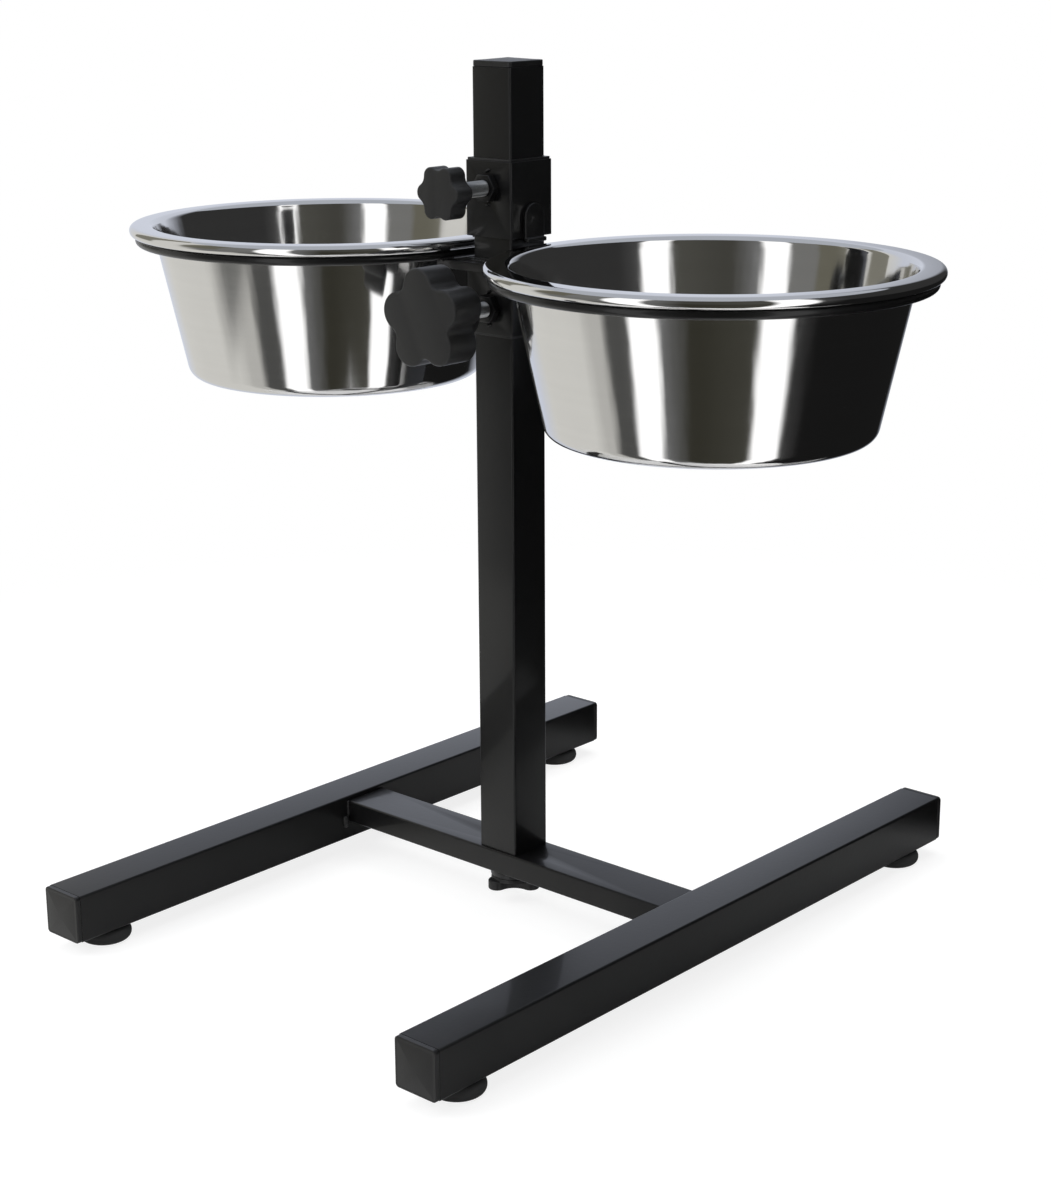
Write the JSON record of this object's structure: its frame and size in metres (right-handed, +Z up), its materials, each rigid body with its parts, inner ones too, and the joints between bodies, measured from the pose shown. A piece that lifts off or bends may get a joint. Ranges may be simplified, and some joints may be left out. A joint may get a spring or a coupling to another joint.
{
  "type": "dog feeder stand",
  "caption": "Height-adjustable feeder stand: stainless bowls lift out of rod rings on a sleeve that slides and clamps on a square post above an H-shaped tube base.",
  "frame": {"origin": "on the floor under the middle of the post", "axes": "+X points to the right bowl, +Y away from the clamp knobs, +Z up"},
  "size_m": [0.4726, 0.4144, 0.4462],
  "materials": {
    "black_coat": "semi-gloss black powder coat",
    "cap_plastic": "moulded black plastic",
    "foot_rubber": "moulded black rubber",
    "knob_plastic": "moulded charcoal plastic",
    "liner_plastic": "moulded black plastic",
    "zinc_steel": "zinc plated",
    "bowl_steel": "polished stainless steel"
  },
  "bodies": {
    "stand": {"left_leg": "black_coat", "right_leg": "black_coat", "crossbar": "black_coat", "left_front_cap": "cap_plastic", "left_rear_cap": "cap_plastic", "right_front_cap": "cap_plastic", "right_rear_cap": "cap_plastic", "left_front_foot": "foot_rubber", "left_rear_foot": "foot_rubber", "right_front_foot": "foot_rubber", "right_rear_foot": "foot_rubber", "post": "black_coat", "post_cap": "cap_plastic", "post_insert": "zinc_steel", "base_spacer": "cap_plastic"},
    "base_knob": {"base_stud": "zinc_steel", "base_knob": "knob_plastic"},
    "carriage": {"lower_sleeve": "black_coat", "lower_liner": "liner_plastic", "lower_nut": "black_coat", "front_arm": "black_coat", "rear_arm": "black_coat", "left_ring": "black_coat", "right_ring": "black_coat"},
    "lower_knob": {"lower_stud": "zinc_steel", "lower_knob": "knob_plastic"},
    "lock": {"upper_sleeve": "black_coat", "upper_liner": "liner_plastic", "upper_nut": "black_coat", "left_tab": "black_coat", "right_tab": "black_coat"},
    "upper_knob": {"upper_stud": "zinc_steel", "upper_knob": "knob_plastic"},
    "left_bowl": {"left_bowl": "bowl_steel"},
    "right_bowl": {"right_bowl": "bowl_steel"}
  },
  "joints": [
    {"name": "carriage_slide", "type": "slide", "parent": "stand", "child": "carriage", "axis": [0, 0, 1], "range_m": [-0.23, 0.009]},
    {"name": "lock_slide", "type": "slide", "parent": "stand", "child": "lock", "axis": [0, 0, 1], "range_m": [0, 0.04]},
    {"name": "left_bowl_lift", "type": "slide", "parent": "carriage", "child": "left_bowl", "axis": [0, 0, 1], "range_m": [0, 0.1]},
    {"name": "right_bowl_lift", "type": "slide", "parent": "carriage", "child": "right_bowl", "axis": [0, 0, 1], "range_m": [0, 0.1]},
    {"name": "lower_knob_turn", "type": "hinge", "parent": "carriage", "child": "lower_knob", "pos_m": [0, -0.05, 0.324], "axis": [0, -1, 0], "range_deg": [0, 720]},
    {"name": "upper_knob_turn", "type": "hinge", "parent": "lock", "child": "upper_knob", "pos_m": [0, -0.045, 0.384], "axis": [0, -1, 0], "range_deg": [0, 720]},
    {"name": "base_knob_turn", "type": "hinge", "parent": "stand", "child": "base_knob", "pos_m": [0, 0, 0.01], "axis": [0, 0, -1], "range_deg": [0, 360]}
  ]
}
